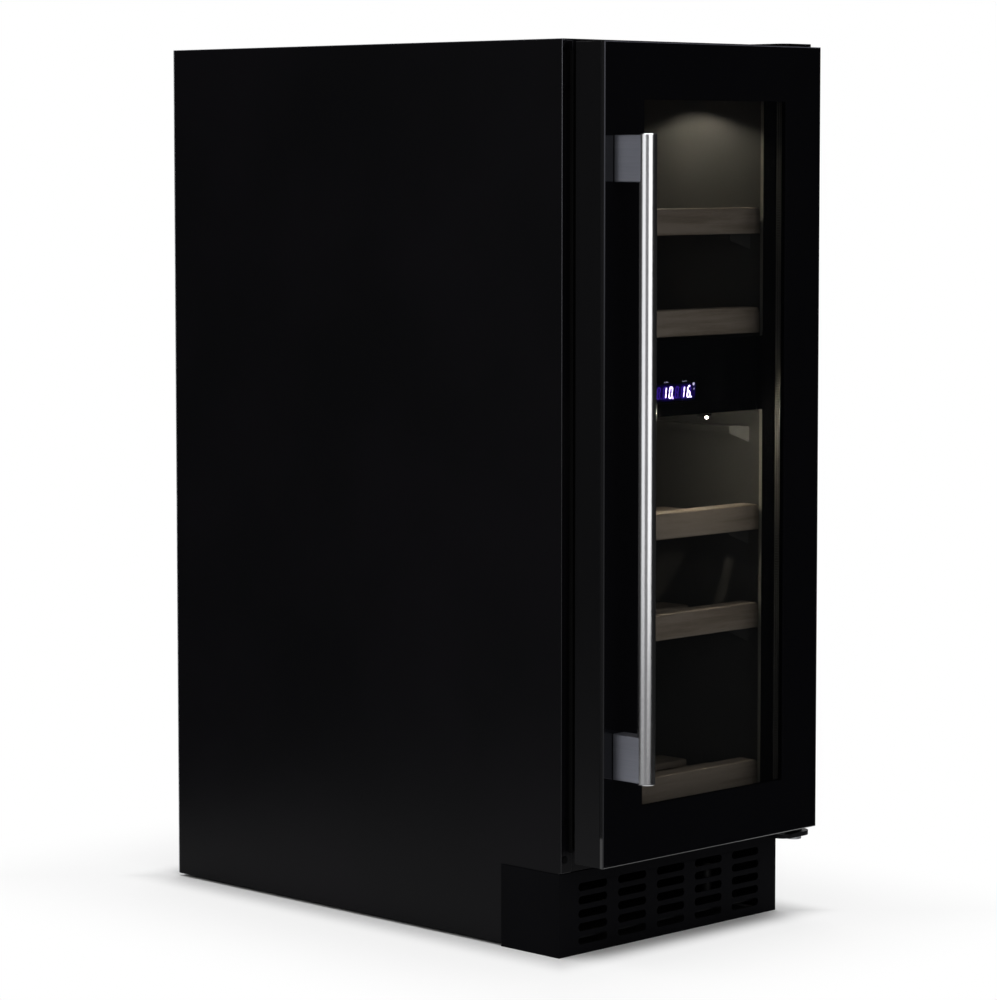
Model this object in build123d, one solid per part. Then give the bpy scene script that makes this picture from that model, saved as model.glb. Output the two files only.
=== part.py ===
"""A slim two-zone wine cooler with a glass door hinged on its right, five shelves and a slotted plinth.

Sizes are in millimetres, +Z is up, the door faces -Y and +X is to the right of someone facing the door.
Pieces are drawn with y = 0 at the front of the cabinet's flange and z = 0 at the floor. As each one is
written it moves along Y, so that the origin lies on the floor under the middle of the overall box.
"""
import math
import os

from build123d import *

# Cabinet
cabinet_width = 295
cabinet_height = 820
cabinet_depth = 530
sheet = 1.0
flange_width = 13.5
panel_ground_gap = 3
side_foam = 19.5
ceiling_foam = 32.5
back_foam = 42.5
floor_foam = 22.5
bay_foam = 15.5
liner_wall = 1.5
strip_thickness = 1.5
liner_corner_radius = 4
trim_gap = 0.2

# Inside levels, from the floor
lower_floor_z = 105
divider_bottom_z = 480
divider_top_z = 533
sill_bottom_z = 77
sill_top_z = 97

# Machine bay at the bottom of the back
bay_height = 236
base_pan_z = 12
pan_thickness = 1.5
pan_edge_height = 16
vent_length = 34
vent_height = 5
vent_pitch_x = 44
vent_pitch_z = 13
vent_columns = 5
vent_rows = 8

# Shelves
shelf_pitch = 92.75
upper_shelf_lift = 19
spare_runner_drop = 17
lower_shelf_drop = 113.25
floor_shelf_lift = 19.5
shelf_side_gap = 3.5
shelf_back_gap = 20
short_shelf_back_gap = 17
shelf_front_y = 2
shelf_front_height = 24
shelf_front_thickness = 18
shelf_corner_radius = 5
shelf_edge_radius = 1.2
rack_rail_width = 15
rack_rail_height = 7
slat_width = 34
slat_thickness = 6
slat_edge_radius = 1.5
slat_pitch = 62
slide_gap = 0.3
runner_depth = 10
runner_height = 7
runner_front_y = 18
runner_nose_length = 16
runner_nose_height = 15

# Zone divider and its controls
fascia_thickness = 1.4
fascia_height = 69
housing_depth = 58
housing_wall = 2
display_width = 72
display_height = 24
display_lift = 24
display_depth = 12
board_width = 160
board_height = 36
board_thickness = 1.6
lens_width = 10
lens_depth = 9
lens_height = 3
upper_lens_x = 72
upper_lens_y = 84
lower_lens_x = 40
lower_lens_y = -1.5

# Air ducts, evaporators and fans
duct_front_gap = 35
duct_wall = 2
duct_side_gap = 3
duct_margin = 11
grille_radius = 40
grille_bar_pitch = 10
grille_slot_height = 6
return_slot_length = 26
return_slot_width = 5
return_slot_pitch = 16
return_slots = 9
evaporator_side_gap = 24
evaporator_thickness = 2.5
evaporator_margin = 24
evaporator_ridges = 6
ridge_height = 6
ridge_depth = 1.2
fan_side = 92
fan_depth = 24.5
fan_bore_radius = 43
fan_tip_gap = 1.5
fan_hub_radius = 17
fan_strut_width = 6
fan_strut_depth = 3
fan_blades = 7
blade_chord = 26
blade_thickness = 1.8
blade_pitch = 32
fan_run_gap = 0.6

# Cooling machine
compressor_back_gap = 27
compressor_fan_gap = 4.9
compressor_radius = 60
compressor_height = 150
compressor_dome = 40
compressor_seam = 3
compressor_seam_height = 7
compressor_foot_x = 54
compressor_foot_y = 44
foot_plate_margin = 14
foot_plate_thickness = 3
mount_radius = 11
mount_height = 10.5
terminal_box_width = 46
terminal_box_depth = 24
terminal_box_height = 52
terminal_box_gap = 0.3
tray_width = 116
tray_depth = 100
tray_height = 28
tray_wall = 2
drain_radius = 5
drain_bore = 3.5
drain_offset_x = 20
drain_offset_y = 28
coil_radius = 3.2
coil_z = 45
coil_side_gap = 34
coil_front_y = 110
coil_back_gap = 22
coil_runs = 8
coil_bend_share = 0.48
coil_support_inset = 48.5
coil_support_end = 64
coil_support_width = 6
pipe_radius = 3.2
pipe_bend = 9
drier_radius = 9
drier_gap = 30
drier_length = 78
suction_height = 105
discharge_height = 35
pipe_wall_gap = 14
pipe_side_gap = 12.5
inlet_width = 30
inlet_height = 24
inlet_depth = 28
inlet_offset_x = 42.5
inlet_z = 72
inlet_wall = 3
inlet_pin_width = 2
inlet_pin_height = 4
inlet_pin_pitch = 7

# Levelling feet
foot_side_inset = 31.5
foot_front_y = 60
foot_back_inset = 41
foot_radius = 16
foot_height = 7
foot_bevel = 1.4
foot_stud_radius = 5
foot_stud_top = 42
stud_gap = 0.1

# Plinth
plinth_head_gap = 1
plinth_front_y = 1.5
plinth_return = 73.5
slot_length = 37.5
slot_height = 7
slot_pitch_x = 52.2
slot_pitch_z = 12.2
slot_low_z = 12.2
slot_columns = 5
slot_rows = 5

# Door
door_side_inset = 1.5
door_lift = 4
door_head_gap = 3
door_back_y = -15
door_thickness = 35
glass_thickness = 4
glass_bevel = 0.8
border_print = 0.3
border_width = 50.5
stile_width = 37.5
stile_wall = 2
spacer_reveal = 6.5
spacer_width = 5.7
spacer_depth = 11.7
bead_width = 2.5
glazing_gap = 0.3
cap_height = 24
gasket_inset = 7.5
gasket_width = 12
gasket_waist = 7
gasket_foot = 4
gasket_head = 4.4
gasket_clearance = 0.6

# Handle
handle_inset = 19.5
handle_radius = 8
handle_reach = 33.5
handle_bottom_inset = 77.5
handle_top_inset = 80.5
handle_end_bevel = 0.8
bracket_width = 15.6
bracket_height = 41
bracket_inset = 1.3
bracket_edge = 0.6
handle_screw_radius = 2.5
handle_screw_pitch = 22
handle_screw_length = 18
handle_screw_head_radius = 4.5
handle_screw_head_height = 3

# Hinges
hinge_inset = 13.5
hinge_y = -32.5
pin_radius = 4
pin_gap = 0.05
pin_reach = 20
pin_head_radius = 7.5
pin_head_height = 4
hinge_edge_gap = 0.5
hinge_plate_width = 43
top_plate_thickness = 2.5
top_plate_reach = 41.5
top_plate_corner = 9
bottom_plate_lift = 3
bottom_plate_thickness = 4
bottom_plate_reach = 46
bottom_plate_corner = 12
tab_thickness = 2.5
top_tab_height = 7.5
bottom_tab_height = 10
hinge_screw_inset = 3.8
hinge_screw_pitch = 31.2
hinge_screw_radius = 2
hinge_screw_head_radius = 3.4
hinge_screw_head_height = 2
plug_head_height = 1.2
head_round_share = 0.6
upper_plug_pitch = 36.75
lower_plug_pitch = 34.5
bush_collar_radius = 8
bush_lift = 0.3
bush_fit = 0.1

# What follows from the sizes above: the cabinet
half_width = cabinet_width / 2
inner_sheet_x = half_width - sheet
foam_inner_x = inner_sheet_x - side_foam
cavity_half = foam_inner_x - liner_wall
back_sheet_y = cabinet_depth - sheet
liner_back_y = back_sheet_y - back_foam
cavity_back_y = liner_back_y - liner_wall
top_sheet_z = cabinet_height - sheet
upper_ceiling_z = top_sheet_z - ceiling_foam - liner_wall
foam_floor_z = lower_floor_z - liner_wall - floor_foam
fold_x = half_width - flange_width
plinth_half = half_width + sheet
plinth_height = sill_bottom_z - plinth_head_gap
display_z = divider_bottom_z + display_lift

# The cooling machine and its bay
coil_half_width = inner_sheet_x - coil_side_gap
compressor_x = coil_half_width - pipe_side_gap - compressor_radius
compressor_y = back_sheet_y - compressor_back_gap - compressor_radius
bay_front_y = compressor_y - compressor_radius - compressor_fan_gap - fan_depth - fan_run_gap
hump_y = bay_front_y - bay_foam
hump_z = bay_height + bay_foam
pan_top_z = base_pan_z + pan_thickness
coil_back_y = bay_front_y - coil_back_gap
coil_support_x = coil_half_width - coil_support_inset
drier_front_y = bay_front_y + drier_gap
drain_x = compressor_x + drain_offset_x
drain_y = compressor_y + drain_offset_y
inlet_x = inlet_offset_x - coil_half_width
foot_x = inner_sheet_x - foot_side_inset
foot_back_y = back_sheet_y - foot_back_inset

# The inside
duct_front_y = cavity_back_y - duct_front_gap
duct_half_width = cavity_half - duct_side_gap
evaporator_half_width = cavity_half - evaporator_side_gap
fan_front_y = duct_front_y + duct_wall
shelf_half_width = cavity_half - shelf_side_gap
shelf_back_y = duct_front_y - shelf_back_gap
short_shelf_back_y = hump_y - liner_wall - short_shelf_back_gap
upper_shelf_z = divider_top_z + upper_shelf_lift
spare_runner_z = divider_bottom_z - spare_runner_drop
lower_shelf_z = divider_bottom_z - lower_shelf_drop

# The hinges and the door
hinge_x = half_width - hinge_inset
hinge_edge_x = half_width - hinge_edge_gap
hinge_plate_x = hinge_edge_x - hinge_plate_width
hinge_screw_x = hinge_edge_x - hinge_screw_inset
bottom_plate_z = sill_bottom_z + bottom_plate_lift
bottom_tab_z = bottom_plate_z + bottom_plate_thickness
top_tab_z = cabinet_height - top_plate_thickness
door_half = half_width - door_side_inset
door_bottom_z = bottom_tab_z + door_lift
door_top_z = cabinet_height - door_head_gap
glass_front_y = door_back_y - door_thickness
glass_back_y = glass_front_y + glass_thickness
frame_front_y = glass_back_y + border_print
stile_inner_x = door_half - stile_width
window_half = door_half - border_width
window_low_z = door_bottom_z + border_width
window_high_z = door_top_z - border_width
handle_x = handle_inset - door_half
handle_y = glass_front_y - handle_reach
handle_bottom_z = door_bottom_z + handle_bottom_inset
handle_top_z = door_top_z - handle_top_inset
front_reach = handle_y - handle_radius
centre_y = (cabinet_depth + front_reach) / 2


def block(x, y, z):
    """A box that spans a pair of limits along each axis."""
    middle = Pos(sum(x) / 2, sum(y) / 2, sum(z) / 2)
    return middle * Box(abs(x[1] - x[0]), abs(y[1] - y[0]), abs(z[1] - z[0]))


def span(half):
    """The limits of something centred on the middle plane."""
    return (-half, half)


def upright_rod(x, y, z, radius):
    """A round bar along Z."""
    return Pos(x, y, sum(z) / 2) * Cylinder(radius, z[1] - z[0])


def deep_rod(x, y, z, radius):
    """A round bar along Y."""
    return Pos(x, sum(y) / 2, z) * Rot(90, 0, 0) * Cylinder(radius, y[1] - y[0])


def tube_along(points, bend, radius):
    """A round pipe along straight runs joined by tangent arcs."""
    path = FilletPolyline(*points, radius=bend)
    section = Plane(origin=path @ 0, z_dir=path % 0) * Circle(radius)
    return sweep(section, path=path)


def frame_ring(outer, inner, y):
    """A flat upright ring; outer and inner are (half width, low z, high z)."""
    body = block(span(outer[0]), y, outer[1:])
    return body - block(span(inner[0]), y, inner[1:])


def rounded_slot(x, y, z, length, height):
    """A through slot with round ends, cut along Y."""
    outline = Plane.XZ * SlotOverall(length, height)
    depth = y[1] - y[0]
    return Pos(x, sum(y) / 2, z) * extrude(outline, depth, both=True)


def side_panel(side, hole_levels):
    """A painted side sheet with its front edge folded inwards; side is -1 for left and 1 for right."""
    x = (side * inner_sheet_x, side * half_width)
    wall = block(x, (0, back_sheet_y), (panel_ground_gap, cabinet_height))
    fold = block((side * fold_x, side * half_width), (0, sheet), (sill_bottom_z, top_sheet_z))
    toe_back_y = plinth_front_y + sheet + trim_gap
    toe = block(x, (0, toe_back_y), (panel_ground_gap, sill_bottom_z))
    panel = wall + fold - toe
    for level in hole_levels:
        panel -= deep_rod(side * hinge_screw_x, (0, sheet), level, hinge_screw_radius)
    return panel


def top_panel():
    """The top sheet, with its front edge folded down between the side folds."""
    roof = block(span(inner_sheet_x), (0, back_sheet_y), (top_sheet_z, cabinet_height))
    fold = block(span(fold_x - trim_gap), (0, sheet), (cabinet_height - flange_width, top_sheet_z))
    inner_screw = deep_rod(hinge_screw_x - hinge_screw_pitch, (0, sheet), top_screw_z(), hinge_screw_radius)
    return roof + fold - inner_screw


def back_panel():
    """The flat sheet that closes the back above the machine bay."""
    return block(span(half_width), (back_sheet_y, cabinet_depth), (bay_height + trim_gap, cabinet_height))


def machine_bay_cover():
    """The removable sheet behind the machine bay, with vent slots and a hole for the mains inlet."""
    y = (back_sheet_y, cabinet_depth)
    cover = block(span(half_width), y, (panel_ground_gap, bay_height))
    first_z = bay_height - (vent_rows + 0.5) * vent_pitch_z
    for column in range(vent_columns):
        x = (column - (vent_columns - 1) / 2) * vent_pitch_x
        for row in range(vent_rows):
            cover -= rounded_slot(x, y, first_z + row * vent_pitch_z, vent_length, vent_height)
    hole_x = inlet_width / 2 + trim_gap
    hole_z = inlet_height / 2 + trim_gap
    return cover - block((inlet_x - hole_x, inlet_x + hole_x), y, (inlet_z - hole_z, inlet_z + hole_z))


def base_pan():
    """The steel floor pan with upturned side edges and a hole for each foot's stud."""
    front_y = plinth_front_y + sheet + foot_height
    y = (front_y, back_sheet_y - trim_gap)
    half = inner_sheet_x - trim_gap
    pan = block(span(half), y, (base_pan_z, pan_top_z))
    for side in (-1, 1):
        edge_x = (side * (half - pan_thickness), side * half)
        pan += block(edge_x, y, (base_pan_z, pan_top_z + pan_edge_height))
    for x, foot_y in foot_places():
        pan -= upright_rod(x, foot_y, (base_pan_z, pan_top_z), foot_stud_radius + stud_gap)
    return pan


def front_sill():
    """The folded steel strip under the opening."""
    half = fold_x - trim_gap
    face = block(span(half), (0, sheet), (sill_bottom_z, sill_top_z))
    shelf = block(span(half), (0, flange_width), (sill_bottom_z, sill_bottom_z + sheet))
    inner_screw_x = hinge_screw_x - hinge_screw_pitch
    return face + shelf - deep_rod(inner_screw_x, (0, sheet), bottom_screw_z(), hinge_screw_radius)


def breaker_strips():
    """Four plastic strips that close the foam between the steel folds and the liners."""
    y = (0, strip_thickness)
    low_z = sill_top_z + trim_gap
    high_z = cabinet_height - flange_width - trim_gap
    outer_x = fold_x - trim_gap
    left = block((-outer_x, -cavity_half), y, (low_z, high_z))
    right = block((cavity_half, outer_x), y, (low_z, high_z))
    head = block(span(cavity_half), y, (upper_ceiling_z, high_z))
    foot = block(span(cavity_half), y, (low_z, lower_floor_z))
    return [left, right, head, foot]


def foam_insulation():
    """Rigid foam between the sheets and the liners, as slabs."""
    y = (strip_thickness, back_sheet_y)
    x = span(foam_inner_x)
    lower_top_z = divider_bottom_z + liner_wall
    upper_bottom_z = divider_top_z - liner_wall
    ceiling_z = upper_ceiling_z + liner_wall
    divider_y = (strip_thickness + fascia_thickness + housing_depth, liner_back_y)
    drain_hole = upright_rod(drain_x, drain_y, (bay_height, hump_z), drain_radius + trim_gap)
    return [
        block((-inner_sheet_x, -foam_inner_x), y, (foam_floor_z, top_sheet_z)),
        block((foam_inner_x, inner_sheet_x), y, (foam_floor_z, top_sheet_z)),
        block(x, y, (ceiling_z, top_sheet_z)),
        block(x, (liner_back_y, back_sheet_y), (hump_z, ceiling_z)),
        block(x, (strip_thickness, hump_y), (foam_floor_z, foam_floor_z + floor_foam)),
        block(x, (hump_y, bay_front_y), (foam_floor_z, hump_z)),
        block(x, (bay_front_y, back_sheet_y), (bay_height, hump_z)) - drain_hole,
        block(x, divider_y, (lower_top_z, upper_bottom_z)),
    ]


def tub(y, z):
    """A thin plastic box open to the front, with rounded inner corners along its depth."""
    shell = block(span(foam_inner_x), (y[0], y[1] + liner_wall), (z[0] - liner_wall, z[1] + liner_wall))
    hollow = block(span(cavity_half), y, z)
    hollow = fillet(hollow.edges().filter_by(Axis.Y), liner_corner_radius)
    return shell, hollow


def upper_liner():
    """The upper zone's tub."""
    shell, hollow = tub((strip_thickness, cavity_back_y), (divider_top_z, upper_ceiling_z))
    return shell - hollow


def lower_liner():
    """The lower zone's tub, stepped up at the back over the machine bay."""
    front_shell, front_hollow = tub((strip_thickness, hump_y - liner_wall), (lower_floor_z, divider_bottom_z))
    back_shell, back_hollow = tub((strip_thickness, cavity_back_y), (hump_z + liner_wall, divider_bottom_z))
    drain = upright_rod(drain_x, drain_y, (hump_z, hump_z + liner_wall), drain_bore)
    return front_shell + back_shell - front_hollow - back_hollow - drain


def runner(side, level, back_y):
    """A moulded ledge on a liner wall that carries one side of a shelf; its front end slants to the wall."""
    top_z = level - slide_gap
    low_z = top_z - runner_height
    nose_z = top_z - runner_nose_height
    nose_y = runner_front_y + runner_nose_length
    wall_x = side * cavity_half
    inner_x = side * (cavity_half - runner_depth)
    outline = Polyline(
        (runner_front_y, top_z),
        (back_y, top_z),
        (back_y, low_z),
        (nose_y, low_z),
        (runner_front_y, nose_z),
        close=True,
    )
    ledge = Pos(min(wall_x, inner_x), 0, 0) * extrude(Plane.YZ * make_face(outline), runner_depth)
    plan = Polyline(
        (wall_x, runner_front_y),
        (wall_x, back_y),
        (inner_x, back_y),
        (inner_x, nose_y),
        close=True,
    )
    return ledge & extrude(Plane.XY.offset(nose_z) * make_face(plan), runner_nose_height)


def shelf_runners():
    """A pair of runners for each shelf, and a spare pair under the divider."""
    places = shelf_places() + [(spare_runner_z, shelf_back_y)]
    return [runner(side, level, back_y) for level, back_y in places for side in (-1, 1)]


def divider_housing():
    """The plastic box behind the fascia, open at its front, that holds the electronics."""
    front_y = strip_thickness + trim_gap
    back_y = strip_thickness + fascia_thickness + housing_depth - trim_gap
    z = (divider_bottom_z + liner_wall + trim_gap, divider_top_z - liner_wall - trim_gap)
    half = foam_inner_x - trim_gap
    pocket_z = (z[0] + housing_wall, z[1] - housing_wall)
    pocket = block(span(half - housing_wall), (front_y, back_y - housing_wall), pocket_z)
    return block(span(half), (front_y, back_y), z) - pocket


def control_fascia():
    """The glossy black front of the divider, with a hole for the display window."""
    y = (0, fascia_thickness)
    plate = block(span(cavity_half - trim_gap), y, (divider_bottom_z, divider_bottom_z + fascia_height))
    hole_z = display_height / 2 + trim_gap
    return plate - block(span(display_width / 2 + trim_gap), y, (display_z - hole_z, display_z + hole_z))


def display_window():
    """The smoked window that fills the hole in the fascia."""
    z = (display_z - display_height / 2, display_z + display_height / 2)
    return block(span(display_width / 2), (0, fascia_thickness), z)


def control_board():
    """The circuit board behind the window, with the display block on its front."""
    display_y = strip_thickness + trim_gap
    board_y = display_y + display_depth
    window_z = (display_z - display_height / 2, display_z + display_height / 2)
    low_z = window_z[0] - housing_wall
    display = block(span(display_width / 2), (display_y, board_y), window_z)
    board = block(span(board_width / 2), (board_y, board_y + board_thickness), (low_z, low_z + board_height))
    return display + board


def light_lenses():
    """One small light under each zone's ceiling; the lower one reaches out under the fascia."""
    lenses = []
    upper = (upper_lens_x, upper_lens_y, upper_ceiling_z)
    lower = (lower_lens_x, lower_lens_y, divider_bottom_z)
    for middle_x, middle_y, ceiling_z in (upper, lower):
        x = (middle_x - lens_width / 2, middle_x + lens_width / 2)
        y = (middle_y - lens_depth / 2, middle_y + lens_depth / 2)
        lens = block(x, y, (ceiling_z - lens_height, ceiling_z))
        lower_edges = lens.edges().group_by(Axis.Z)[0]
        lenses.append(fillet(lower_edges, lens_height / 2))
    return lenses


def duct_cover(z, fan_z):
    """A shallow cover in front of an evaporator, with a round fan grille and return slots below it."""
    y = (duct_front_y, cavity_back_y - trim_gap)
    hollow_z = (z[0] + duct_wall, z[1] - duct_wall)
    hollow = block(span(duct_half_width - duct_wall), (fan_front_y, y[1]), hollow_z)
    cover = block(span(duct_half_width), y, z) - hollow
    front = (duct_front_y, fan_front_y)
    bars = int(grille_radius // grille_bar_pitch)
    for bar in range(-bars, bars + 1):
        offset = bar * grille_bar_pitch
        length = 2 * math.sqrt(grille_radius**2 - offset**2)
        if length > 2 * grille_slot_height:
            cover -= rounded_slot(0, front, fan_z + offset, length, grille_slot_height)
    for index in range(return_slots):
        x = (index - (return_slots - 1) / 2) * return_slot_pitch
        slot_z = (z[0] + duct_margin, z[0] + duct_margin + return_slot_length)
        cover -= block((x - return_slot_width / 2, x + return_slot_width / 2), front, slot_z)
    return cover


def evaporator(z):
    """An aluminium roll-bonded plate with raised channels, on the liner's back wall."""
    back_y = cavity_back_y - trim_gap
    front_y = back_y - evaporator_thickness
    low_z = z[0] + evaporator_margin
    high_z = z[1] - evaporator_margin
    plate = block(span(evaporator_half_width), (front_y, back_y), (low_z, high_z))
    pitch = (high_z - low_z) / evaporator_ridges
    for index in range(evaporator_ridges):
        ridge_z = low_z + (index + 0.5) * pitch
        ridge = (ridge_z - ridge_height / 2, ridge_z + ridge_height / 2)
        plate += block(span(evaporator_half_width - ridge_height), (front_y - ridge_depth, front_y), ridge)
    return plate


def fan_frame(x, front_y, z):
    """A square fan frame with a round duct and four struts that carry the motor at its back."""
    half = fan_side / 2
    back_y = front_y + fan_depth
    strut_y = (back_y - fan_strut_depth, back_y)
    frame = block((x - half, x + half), (front_y, back_y), (z - half, z + half))
    frame -= deep_rod(x, (front_y, back_y), z, fan_bore_radius)
    arm = fan_strut_width / 2
    reach = fan_bore_radius + fan_strut_depth / 2
    frame += block((x - reach, x + reach), strut_y, (z - arm, z + arm))
    frame += block((x - arm, x + arm), strut_y, (z - reach, z + reach))
    return frame + deep_rod(x, strut_y, z, fan_hub_radius)


def fan_rotor(x, front_y, z):
    """A hub with pitched blades that turns about Y inside its frame."""
    depth = fan_depth - fan_strut_depth - 2 * fan_run_gap
    tip = fan_bore_radius - fan_tip_gap
    reach = tip - fan_hub_radius / 2
    rotor = Cylinder(fan_hub_radius, depth)
    for index in range(fan_blades):
        turn = Rot(0, 0, index * 360 / fan_blades)
        blade = Pos(tip - reach / 2, 0, 0) * Rot(blade_pitch, 0, 0) * Box(reach, blade_chord, blade_thickness)
        rotor += turn * blade
    rotor = rotor & Cylinder(tip, depth)
    return Pos(x, front_y + fan_run_gap + depth / 2, z) * Rot(90, 0, 0) * rotor


def upper_zone_z():
    """The limits of the upper duct cover."""
    return (divider_top_z + duct_margin, upper_ceiling_z - duct_margin)


def lower_zone_z():
    """The limits of the lower duct cover."""
    return (hump_z + liner_wall + duct_margin, divider_bottom_z - duct_margin)


def fan_places():
    """Where each fan's axis and front lie: upper zone, lower zone and condenser."""
    upper_z = upper_zone_z()[1] - duct_margin - fan_side / 2
    lower_z = lower_zone_z()[1] - duct_margin - fan_side / 2
    condenser = (compressor_x, bay_front_y + fan_run_gap, pan_top_z + fan_side / 2)
    return [(0, fan_front_y, upper_z), (0, fan_front_y, lower_z), condenser]


def compressor_bottom_z():
    """The underside of the compressor's shell."""
    return pan_top_z + mount_height + foot_plate_thickness


def compressor():
    """A welded steel shell with domed ends and a seam, on a foot plate."""
    low_z = compressor_bottom_z()
    shell = upright_rod(compressor_x, compressor_y, (low_z, low_z + compressor_height), compressor_radius)
    shell = fillet(shell.edges().filter_by(GeomType.CIRCLE), compressor_dome)
    seam_z = low_z + compressor_height / 2
    seam = (seam_z - compressor_seam_height / 2, seam_z + compressor_seam_height / 2)
    shell += upright_rod(compressor_x, compressor_y, seam, compressor_radius + compressor_seam)
    half_x = compressor_foot_x + foot_plate_margin
    half_y = compressor_foot_y + foot_plate_margin
    x = (compressor_x - half_x, compressor_x + half_x)
    y = (compressor_y - half_y, compressor_y + half_y)
    return shell + block(x, y, (low_z - foot_plate_thickness, low_z))


def compressor_mounts():
    """Four rubber blocks between the foot plate and the base pan."""
    z = (pan_top_z, pan_top_z + mount_height)
    places = [(sx * compressor_foot_x, sy * compressor_foot_y) for sx in (-1, 1) for sy in (-1, 1)]
    return [upright_rod(compressor_x + x, compressor_y + y, z, mount_radius) for x, y in places]


def terminal_box():
    """The plastic box on the compressor's left side that covers its terminals."""
    far_x = compressor_x - compressor_radius - terminal_box_depth
    y = (compressor_y - terminal_box_width / 2, compressor_y + terminal_box_width / 2)
    low_z = compressor_bottom_z() + compressor_height / 2 + compressor_seam_height
    z = (low_z, low_z + terminal_box_height)
    shell = upright_rod(compressor_x, compressor_y, z, compressor_radius + terminal_box_gap)
    return block((far_x, compressor_x), y, z) - shell


def drip_tray():
    """The open tray on top of the compressor where defrost water dries off."""
    low_z = compressor_bottom_z() + compressor_height
    x = (compressor_x - tray_width / 2, compressor_x + tray_width / 2)
    y = (compressor_y - tray_depth / 2, compressor_y + tray_depth / 2)
    inner_x = (x[0] + tray_wall, x[1] - tray_wall)
    inner_y = (y[0] + tray_wall, y[1] - tray_wall)
    tray = block(x, y, (low_z, low_z + tray_height))
    return tray - block(inner_x, inner_y, (low_z + tray_wall, low_z + tray_height))


def drain_tube():
    """The tube that leads water from the lower liner into the tray."""
    z = (compressor_bottom_z() + compressor_height + tray_height / 2, hump_z)
    return upright_rod(drain_x, drain_y, z, drain_radius) - upright_rod(drain_x, drain_y, z, drain_bore)


def condenser_coil():
    """A flat serpentine of steel tube in the air path under the lower zone, open at both ends to the back."""
    pitch = 2 * coil_half_width / (coil_runs - 1)
    bend = coil_bend_share * pitch
    points = []
    for run in range(coil_runs):
        x = -coil_half_width + run * pitch
        ends = [(x, coil_back_y, coil_z), (x, coil_front_y, coil_z)]
        if run % 2:
            ends.reverse()
        points += ends
    return tube_along(points, bend, coil_radius)


def condenser_supports():
    """Two bars on the base pan that carry the coil."""
    y = (coil_front_y + coil_support_end, coil_back_y - coil_support_end)
    z = (pan_top_z, coil_z - coil_radius)
    half = coil_support_width / 2
    return [block((side * coil_support_x - half, side * coil_support_x + half), y, z) for side in (-1, 1)]


def filter_drier():
    """The round-ended can in the liquid line."""
    y = (drier_front_y, drier_front_y + drier_length)
    can = deep_rod(-coil_half_width, y, coil_z, drier_radius)
    return fillet(can.edges().filter_by(GeomType.CIRCLE), drier_radius * head_round_share)


def refrigerant_pipes():
    """The suction, discharge and liquid lines."""
    drier_back_y = drier_front_y + drier_length
    liquid_y = drier_back_y + 2 * pipe_bend
    suction_y = compressor_y + compressor_radius + pipe_wall_gap
    discharge_z = compressor_bottom_z() + discharge_height
    suction_z = compressor_bottom_z() + suction_height
    shell_x = compressor_x + compressor_radius
    discharge = [
        (shell_x, compressor_y, discharge_z),
        (coil_half_width, compressor_y, discharge_z),
        (coil_half_width, compressor_y, coil_z),
        (coil_half_width, coil_back_y, coil_z),
    ]
    liquid = [
        (-coil_half_width, drier_back_y, coil_z),
        (-coil_half_width, liquid_y, coil_z),
        (-coil_half_width, liquid_y, bay_height),
    ]
    suction = [
        (compressor_x, compressor_y + compressor_radius, suction_z),
        (compressor_x, suction_y, suction_z),
        (compressor_x, suction_y, bay_height),
    ]
    inlet = deep_rod(-coil_half_width, (coil_back_y, drier_front_y), coil_z, pipe_radius)
    return [tube_along(points, pipe_bend, pipe_radius) for points in (discharge, liquid, suction)] + [inlet]


def mains_inlet():
    """The appliance inlet in the machine bay cover, a walled socket with three flat pins."""
    x = (inlet_x - inlet_width / 2, inlet_x + inlet_width / 2)
    z = (inlet_z - inlet_height / 2, inlet_z + inlet_height / 2)
    y = (cabinet_depth - inlet_depth, cabinet_depth)
    floor_y = y[0] + inlet_wall
    recess_x = (x[0] + inlet_wall, x[1] - inlet_wall)
    recess_z = (z[0] + inlet_wall, z[1] - inlet_wall)
    socket = block(x, y, z) - block(recess_x, (floor_y, y[1]), recess_z)
    pin_y = (y[0], y[1] - 2 * inlet_wall)
    for index in (-1, 0, 1):
        pin_x = inlet_x + index * inlet_pin_pitch
        pin = (pin_x - inlet_pin_width / 2, pin_x + inlet_pin_width / 2)
        lift = inlet_wall if index == 0 else -inlet_wall
        pin_z = (inlet_z + lift - inlet_pin_height / 2, inlet_z + lift + inlet_pin_height / 2)
        socket += block(pin, pin_y, pin_z)
    return socket


def foot_places():
    """The four feet: front left, front right, back left and back right."""
    return [(side * foot_x, y) for y in (foot_front_y, foot_back_y) for side in (-1, 1)]


def levelling_foot(x, y):
    """A round pad on a stud that screws up and down in the base pan."""
    pad = upright_rod(x, y, (0, foot_height), foot_radius)
    pad = chamfer(pad.edges().filter_by(GeomType.CIRCLE), foot_bevel)
    return pad + upright_rod(x, y, (foot_height, foot_stud_top), foot_stud_radius)


def plinth_grille():
    """The folded steel plinth, which wraps the front of the base and has rows of air slots."""
    y = (plinth_front_y, plinth_front_y + sheet)
    plinth = block(span(plinth_half), y, (0, plinth_height))
    for side in (-1, 1):
        wing = (side * half_width, side * plinth_half)
        plinth += block(wing, (plinth_front_y, plinth_front_y + plinth_return), (0, plinth_height))
    for column in range(slot_columns):
        x = (column - (slot_columns - 1) / 2) * slot_pitch_x
        for row in range(slot_rows):
            plinth -= rounded_slot(x, y, slot_low_z + row * slot_pitch_z, slot_length, slot_height)
    return plinth


def top_screw_z():
    """The height of the upper hinge's screws."""
    return top_tab_z - top_tab_height / 2


def bottom_screw_z():
    """The height of the lower hinge's screws."""
    return bottom_tab_z + bottom_tab_height / 2


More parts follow.
